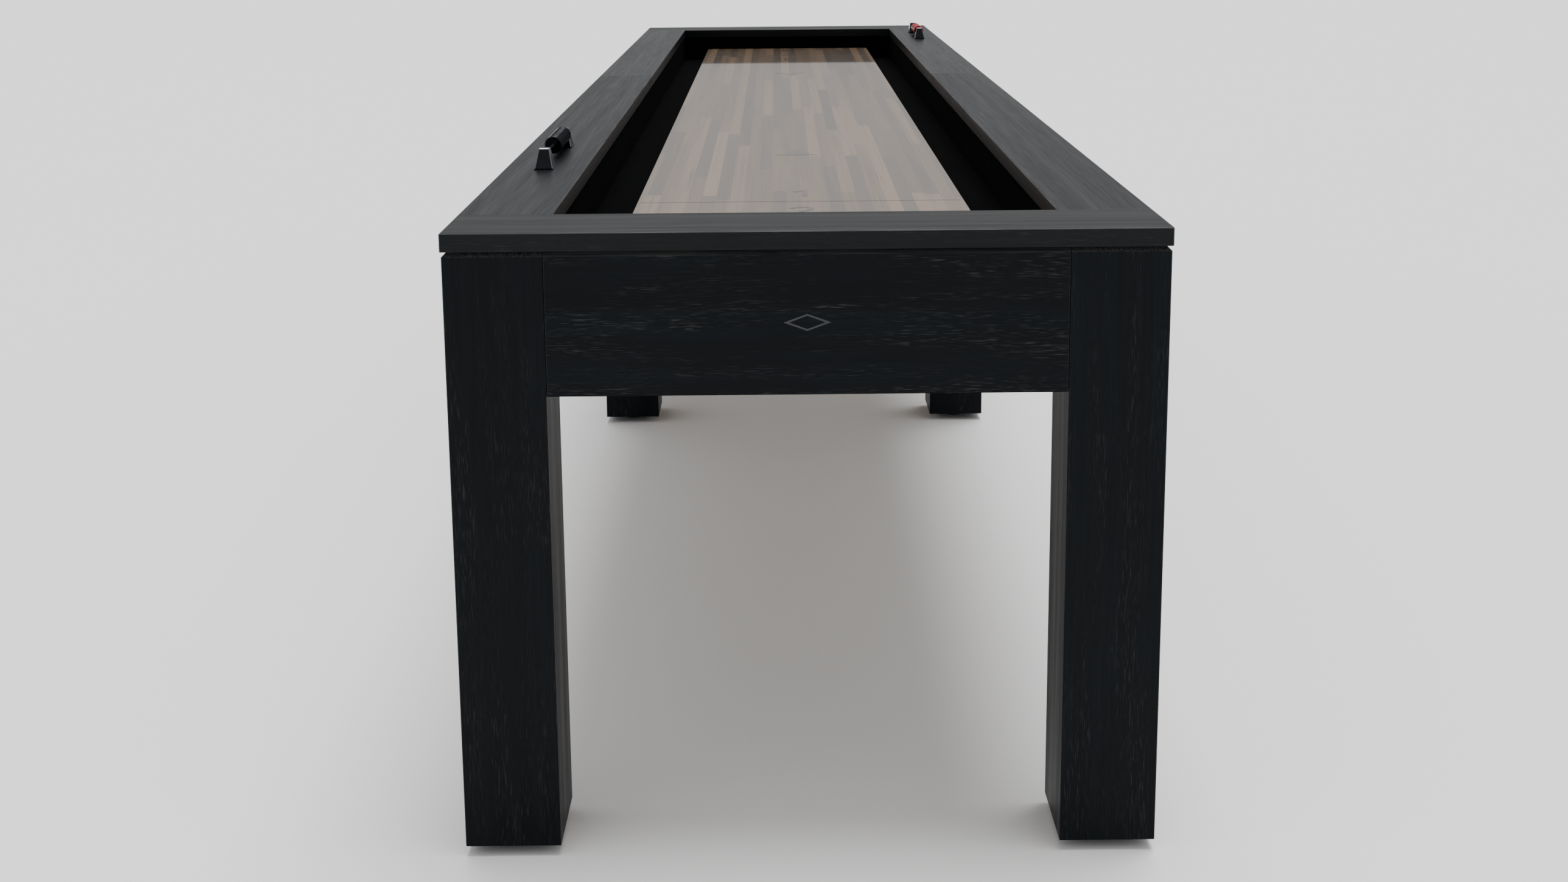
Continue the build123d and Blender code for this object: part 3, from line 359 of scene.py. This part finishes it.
def rubber_finish():
    """Black rubber with a little dust."""
    f = Finish("black_rubber")
    grit = f.noise(f.stretched((700.0, 700.0, 700.0)), 2.0)
    dust = f.noise(f.stretched((40.0, 40.0, 40.0)), 3.0)
    colour = f.blend(f.remap(dust, 0.45, 0.75), RUBBER_BLACK, RUBBER_DUST)
    f.feed(f.shader.inputs["Base Color"], colour)
    f.feed(f.shader.inputs["Roughness"], f.remap(grit, 0.3, 0.7, 0.60, 0.78))
    f.constant(Specular_IOR_Level=0.35)
    f.bump(grit, 0.0002, 0.5)
    return f.material


RAIL_SPECULAR = 0.17
SOFTWOOD_PALE = (0.40, 0.29, 0.18)
SOFTWOOD_DARK = (0.28, 0.19, 0.11)
ZINC = ((0.42, 0.43, 0.45), (0.62, 0.63, 0.64))
PAINTED_STEEL = ((0.020, 0.020, 0.021), (0.042, 0.042, 0.044))
FINISHES = {
    # The rails take copies of one stain at different brightness (lift). The far halves of the side
    # rails are painted lighter than the near halves (1.6 against 1.1), painted light for the brighter
    # light on the far rails. The end rails take a darker copy (0.8).
    "end_rail": stained_wood("end_rail_wood", "x", 0.5, 3.0, 0.40, 0.8, RAIL_SPECULAR),
    "near_side_rail": stained_wood("near_side_rail_wood", "y", 0.4, 11.0, 0.41, 1.1, RAIL_SPECULAR),
    "far_side_rail": stained_wood("far_side_rail_wood", "y", 0.4, 17.0, 0.37, 1.6, RAIL_SPECULAR),
    "end_apron": stained_wood("end_apron_wood", "x", pores=1.0, seed=5.0),
    "side_apron": stained_wood("side_apron_wood", "y", pores=1.0, seed=8.0),
    "leg": stained_wood("leg_wood", "z", pores=0.6, seed=14.0),
    "carcass": raw_wood("carcass_wood", "x", SOFTWOOD_PALE, SOFTWOOD_DARK),
    "playfield": playfield_finish(),
    "carpet": carpet_finish(),
    "black_beads": bead_finish("black_bead", **BLACK_BEAD),
    "red_beads": bead_finish("red_bead", **RED_BEAD),
    "scorer": scorer_finish(),
    "rubber": rubber_finish(),
    "zinc": metal_finish("zinc_steel", *ZINC, 0.36, 1.0, 160.0),
    "bracket": metal_finish("bracket_steel", *PAINTED_STEEL, 0.52, 0.0, 900.0),
}
FINISH_OF_SLOT = {
    "leg_wood": "leg",
    "carcass_wood": "carcass",
    "carpet": "carpet",
    "playfield_maple": "playfield",
    "black_rubber": "rubber",
    "dark_chrome": "scorer",
    "black_bead": "black_beads",
    "red_bead": "red_beads",
    "bracket_steel": "bracket",
    "zinc_steel": "zinc",
}


def finish_of(node, slot):
    """Rails and aprons take their grain along their own length; the far halves of the side rails take a
    lighter copy of the stain, which is painted light.
    """
    if slot in FINISH_OF_SLOT:
        return FINISHES[FINISH_OF_SLOT[slot]]
    at_end = node.startswith(("near_", "far_"))
    if slot != "rail_wood":
        return FINISHES["end_apron" if at_end else "side_apron"]
    if at_end:
        return FINISHES["end_rail"]
    return FINISHES["far_side_rail" if node.endswith("_far") else "near_side_rail"]


SLOT_OF_NODE = {entry["node"]: entry["material_slot"] for entry in frame["record"]["subparts"]}
for node_name, node_object in frame["nodes"].items():
    chosen = finish_of(node_name, SLOT_OF_NODE[node_name])
    node_object.data.materials.clear()
    node_object.data.materials.append(chosen)

# ---------------------------------------------------------------- printed markings
FIELD_LOW, FIELD_HIGH = (Vector(corner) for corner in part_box("playfield"))
FIELD_TOP = FIELD_HIGH.z
PRINT_LIFT = 0.00002
PRINT_THICKNESS = 0.00018
STROKE = 0.0085
NUMBER_HEIGHT = 0.063
NUMBER_STARTS = {"3": 0.060, "2": 0.208, "1": 0.362}  # from the playfield's end
LINE_PLACES = (0.158, 0.319)
LINE_WIDTH = 0.0036
LINE_HALF = 0.2500
SIGHT_BASE, SIGHT_APEX = 0.820, 0.902
SIGHT_HALF_WIDTH = 0.039
SIGHT_PINCH = 0.30
SIGHT_STEPS = 10


def arc(centre, radius, start, stop, steps=14):
    """Points on an arc, angles in degrees."""
    turn = [math.radians(start + (stop - start) * i / steps) for i in range(steps + 1)]
    return [(centre[0] + radius * math.cos(a), centre[1] + radius * math.sin(a)) for a in turn]


ONE_STEM = 0.0070
ONE_FLAG = (-0.0085, 0.0125)  # flag's tip across, and below the stem's top
TWO_BOW = 0.0155
TWO_BOW_TURN = (165.0, -38.0)
TWO_FOOT_END = 0.0165
BOWL_RADII = (0.0128, 0.0152)  # centre lines of the upper and lower bowls of the 3
BOWL_OPENING = 155.0
WAIST_START = -0.0045


def three_ring():
    """Outline of a plain 3: two bowls that meet in a short waist, without a fold."""
    edge = STROKE / 2
    upper_radius, lower_radius = BOWL_RADII
    upper = (0.0, NUMBER_HEIGHT - edge - upper_radius)
    lower = (0.0, edge + lower_radius)
    outer_upper, outer_lower = upper_radius + edge, lower_radius + edge
    between = upper[1] - lower[1]
    notch = (between ** 2 + outer_lower ** 2 - outer_upper ** 2) / (2 * between)
    upper_notch = math.degrees(math.asin((notch - between) / outer_upper))
    lower_notch = math.degrees(math.asin(notch / outer_lower))
    outside = arc(upper, outer_upper, BOWL_OPENING, upper_notch)
    outside += arc(lower, outer_lower, lower_notch, -BOWL_OPENING)[1:]
    inside_lower = arc(lower, lower_radius - edge, -BOWL_OPENING, 90.0)
    inside_upper = arc(upper, upper_radius - edge, -90.0, BOWL_OPENING)
    waist = [(WAIST_START, inside_lower[-1][1]), (WAIST_START, inside_upper[0][1])]
    return outside + inside_lower + waist + inside_upper


def digit_strokes(digit):
    """Centre lines of a plain 1 or 2, upright on a baseline at y = 0, x centred."""
    edge = STROKE / 2
    top = NUMBER_HEIGHT - edge
    if digit == "1":
        return [[(ONE_FLAG[0], top - ONE_FLAG[1]), (ONE_STEM, top), (ONE_STEM, edge)]]
    bow = arc((0.0, top - TWO_BOW), TWO_BOW, *TWO_BOW_TURN)
    return [bow + [(-TWO_BOW, edge), (TWO_FOOT_END, edge)]]


def ribbon_outline(points, width):
    """Left and right sides of a stroke, mitred at each bend."""
    left, right = [], []
    for i, point in enumerate(points):
        here = Vector(point)
        before = (here - Vector(points[i - 1])).normalized() if i else None
        after = (Vector(points[i + 1]) - here).normalized() if i + 1 < len(points) else None
        way = ((before or after) + (after or before)).normalized()
        side = Vector((-way.y, way.x))
        straight = before or after
        stretch = max(0.55, side.dot(Vector((-straight.y, straight.x))))
        left.append(here + side * width / 2 / stretch)
        right.append(here - side * width / 2 / stretch)
    return left, right


def mesh_object(name, mesh_builder, material):
    """A mesh piece from a bmesh, on the root body."""
    mesh = bpy.data.meshes.new(name)
    bmesh.ops.recalc_face_normals(mesh_builder, faces=mesh_builder.faces)
    mesh_builder.to_mesh(mesh)
    mesh_builder.free()
    mesh.materials.append(material)
    made = bpy.data.objects.new(name, mesh)
    bpy.context.scene.collection.objects.link(made)
    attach(made, "root")
    return made


def add_slab(builder, ring, low, high):
    """A thin closed slab over a ring of points."""
    bottom = [builder.verts.new((p.x, p.y, low)) for p in ring]
    top = [builder.verts.new((p.x, p.y, high)) for p in ring]
    builder.faces.new(top)
    builder.faces.new(bottom[::-1])
    for i in range(len(ring)):
        j = (i + 1) % len(ring)
        builder.faces.new((bottom[i], bottom[j], top[j], top[i]))


def add_stroke(builder, points, width, low, high):
    """A stroke as one closed ribbon of quads."""
    left, right = ribbon_outline(points, width)
    rows = []
    for a, b in zip(left, right):
        corners = ((a, low), (b, low), (b, high), (a, high))
        rows.append([builder.verts.new((p.x, p.y, z)) for p, z in corners])
    for first, second in zip(rows, rows[1:]):
        for i in range(4):
            j = (i + 1) % 4
            builder.faces.new((first[i], first[j], second[j], second[i]))
    builder.faces.new(rows[0][::-1])
    builder.faces.new(rows[-1])


def end_placement(end):
    """Maps x across and y from the playfield's end into the table, read from that end."""
    if end == "near":
        return Matrix.Translation((0.0, FIELD_LOW.y, 0.0))
    return Matrix.Translation((0.0, FIELD_HIGH.y, 0.0)) @ Matrix.Rotation(math.pi, 4, "Z")


PRINT_LOW = FIELD_TOP + PRINT_LIFT
PRINT_HIGH = PRINT_LOW + PRINT_THICKNESS
number_ink = ink_finish("number_ink", 0.90, 1400.0)
line_ink = ink_finish("line_ink", 0.55, 900.0)
sight_ink = ink_finish("sight_ink", 0.62, 420.0)


def sight_ring():
    """A triangle that points up the table, with gently hollow sides."""
    right = []
    for i in range(SIGHT_STEPS + 1):
        t = i / SIGHT_STEPS
        pinch = SIGHT_PINCH * SIGHT_HALF_WIDTH * math.sin(math.pi * t) * (1.0 - t)
        height = SIGHT_BASE + (SIGHT_APEX - SIGHT_BASE) * t
        right.append(Vector((SIGHT_HALF_WIDTH * (1.0 - t) - pinch, height)))
    left = [Vector((-p.x, p.y)) for p in right[-2::-1]]
    return right + left


def print_markings(end):
    """Numbers, score lines and sight mark at one end of the playfield."""
    place = end_placement(end)
    for digit, start in NUMBER_STARTS.items():
        builder = bmesh.new()
        if digit == "3":
            ring = [Vector((x, y + start)) for x, y in three_ring()]
            add_slab(builder, ring, PRINT_LOW, PRINT_HIGH)
        else:
            for stroke in digit_strokes(digit):
                shifted = [(x, y + start) for x, y in stroke]
                add_stroke(builder, shifted, STROKE, PRINT_LOW, PRINT_HIGH)
        builder.transform(place)
        mesh_object(f"{end}_number_{digit}", builder, number_ink)
    builder = bmesh.new()
    for line in LINE_PLACES:
        add_stroke(builder, [(-LINE_HALF, line), (LINE_HALF, line)], LINE_WIDTH, PRINT_LOW, PRINT_HIGH)
    builder.transform(place)
    mesh_object(f"{end}_score_lines", builder, line_ink)
    builder = bmesh.new()
    add_slab(builder, sight_ring(), PRINT_LOW, PRINT_HIGH)
    builder.transform(place)
    mesh_object(f"{end}_sight_mark", builder, sight_ink)


for table_end in ("near", "far"):
    print_markings(table_end)

# ---------------------------------------------------------------- apron lozenge
LOZENGE_HALF = (0.030, 0.011)
LOZENGE_LINE = 0.0024
LOZENGE_PROUD = 0.0006
LOZENGE_PAINT = ((0.014, 0.016, 0.019), (0.022, 0.024, 0.028))
LOZENGE_DROP = 0.50  # share of the apron's height, from its top

apron_low, apron_high = (Vector(corner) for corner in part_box("near_apron"))


def lozenge_ring(half_x, half_z, y, height):
    """The four corners of a lozenge that stands on its point."""
    corners = ((1, 0), (0, 1), (-1, 0), (0, -1))
    return [Vector((x * half_x, y, height + z * half_z)) for x, z in corners]


def apron_lozenge():
    """A plain open lozenge in light paint on the near apron."""
    height = apron_high.z - LOZENGE_DROP * (apron_high.z - apron_low.z)
    face_y = apron_low.y
    builder = bmesh.new()
    inner_x = LOZENGE_HALF[0] - 3.0 * LOZENGE_LINE
    inner_z = LOZENGE_HALF[1] - LOZENGE_LINE
    rings = []
    for y in (face_y - PRINT_LIFT, face_y - LOZENGE_PROUD):
        rings.append([builder.verts.new(p) for p in lozenge_ring(*LOZENGE_HALF, y, height)])
        rings.append([builder.verts.new(p) for p in lozenge_ring(inner_x, inner_z, y, height)])
    for a, b in ((0, 1), (2, 3), (0, 2), (1, 3)):
        for i in range(4):
            j = (i + 1) % 4
            builder.faces.new((rings[a][i], rings[a][j], rings[b][j], rings[b][i]))
    paint = metal_finish("lozenge_paint", *LOZENGE_PAINT, 0.5, 0.0, 500.0)
    mesh_object("apron_lozenge", builder, paint)


apron_lozenge()

# ---------------------------------------------------------------- floor, light and camera
FLOOR_HALF = 60.0
FLOOR_TONE = (0.80, 0.80, 0.80)
HORIZON_LIGHT = 0.28
ZENITH_FROM = 0.6  # sine of the height where the sky is brightest
ZENITH_LIGHT = 1.0
SUN_STRENGTH = 3.7
SUN_ANGLE = 0.6
SUN_TILT = (math.radians(-8.0), math.radians(6.0), 0.0)
CAMERA_PLACE = Vector((-0.036, -3.925, 1.237))
CAMERA_YAW = 0.0038
CAMERA_PITCH = math.radians(9.90)
CAMERA_ROLL = 0.0084
CAMERA_LENS = 39.5
CAMERA_SHIFT_Y = -0.15
CAMERA_REACH = 200.0


def make_floor():
    """A wide pale floor that is not part of the table."""
    builder = bmesh.new()
    corners = ((-1, -1), (1, -1), (1, 1), (-1, 1))
    builder.faces.new([builder.verts.new((x * FLOOR_HALF, y * FLOOR_HALF, 0.0)) for x, y in corners])
    mesh = bpy.data.meshes.new("studio_floor")
    builder.to_mesh(mesh)
    builder.free()
    f = Finish("studio_floor")
    drift = f.noise(f.stretched((0.4, 0.4, 0.4)), 2.0)
    pale = tuple(c * 0.985 for c in FLOOR_TONE)
    f.feed(f.shader.inputs["Base Color"], f.blend(drift, pale, FLOOR_TONE))
    f.constant(Roughness=0.9, Specular_IOR_Level=0.1)
    mesh.materials.append(f.material)
    floor = bpy.data.objects.new("studio_floor", mesh)
    bpy.context.scene.collection.objects.link(floor)


def make_light():
    """A sky that brightens with height, and one soft lamp overhead."""
    world = bpy.data.worlds.new("studio")
    world.use_nodes = True
    tree = world.node_tree
    background = tree.nodes["Background"]
    coords = tree.nodes.new("ShaderNodeTexCoord")
    split = tree.nodes.new("ShaderNodeSeparateXYZ")
    rise = tree.nodes.new("ShaderNodeMapRange")
    tree.links.new(coords.outputs["Generated"], split.inputs[0])
    tree.links.new(split.outputs["Z"], rise.inputs["Value"])
    rise.inputs["From Max"].default_value = ZENITH_FROM
    rise.inputs["To Min"].default_value = HORIZON_LIGHT
    rise.inputs["To Max"].default_value = ZENITH_LIGHT
    tree.links.new(rise.outputs["Result"], background.inputs["Strength"])
    background.inputs["Color"].default_value = (1.0, 1.0, 1.0, 1.0)
    bpy.context.scene.world = world
    sun = bpy.data.lights.new("soft_overhead", "SUN")
    sun.energy = SUN_STRENGTH
    sun.angle = SUN_ANGLE
    lamp = bpy.data.objects.new("soft_overhead", sun)
    lamp.rotation_euler = SUN_TILT
    bpy.context.scene.collection.objects.link(lamp)


def make_camera():
    """A view from in front of the near end, a little above the rails."""
    ahead = Vector((math.sin(CAMERA_YAW) * math.cos(CAMERA_PITCH),
                    math.cos(CAMERA_YAW) * math.cos(CAMERA_PITCH),
                    -math.sin(CAMERA_PITCH)))
    level = Vector((math.cos(CAMERA_YAW), -math.sin(CAMERA_YAW), 0.0))
    below = ahead.cross(level)
    right = level * math.cos(CAMERA_ROLL) + below * math.sin(CAMERA_ROLL)
    down = below * math.cos(CAMERA_ROLL) - level * math.sin(CAMERA_ROLL)
    data = bpy.data.cameras.new("camera")
    data.lens = CAMERA_LENS
    data.shift_y = CAMERA_SHIFT_Y
    data.clip_end = CAMERA_REACH
    camera = bpy.data.objects.new("camera", data)
    turn = Matrix((right, -down, -ahead)).transposed()
    camera.matrix_world = Matrix.Translation(CAMERA_PLACE) @ turn.to_4x4()
    bpy.context.scene.collection.objects.link(camera)
    bpy.context.scene.camera = camera


make_floor()
make_light()
make_camera()
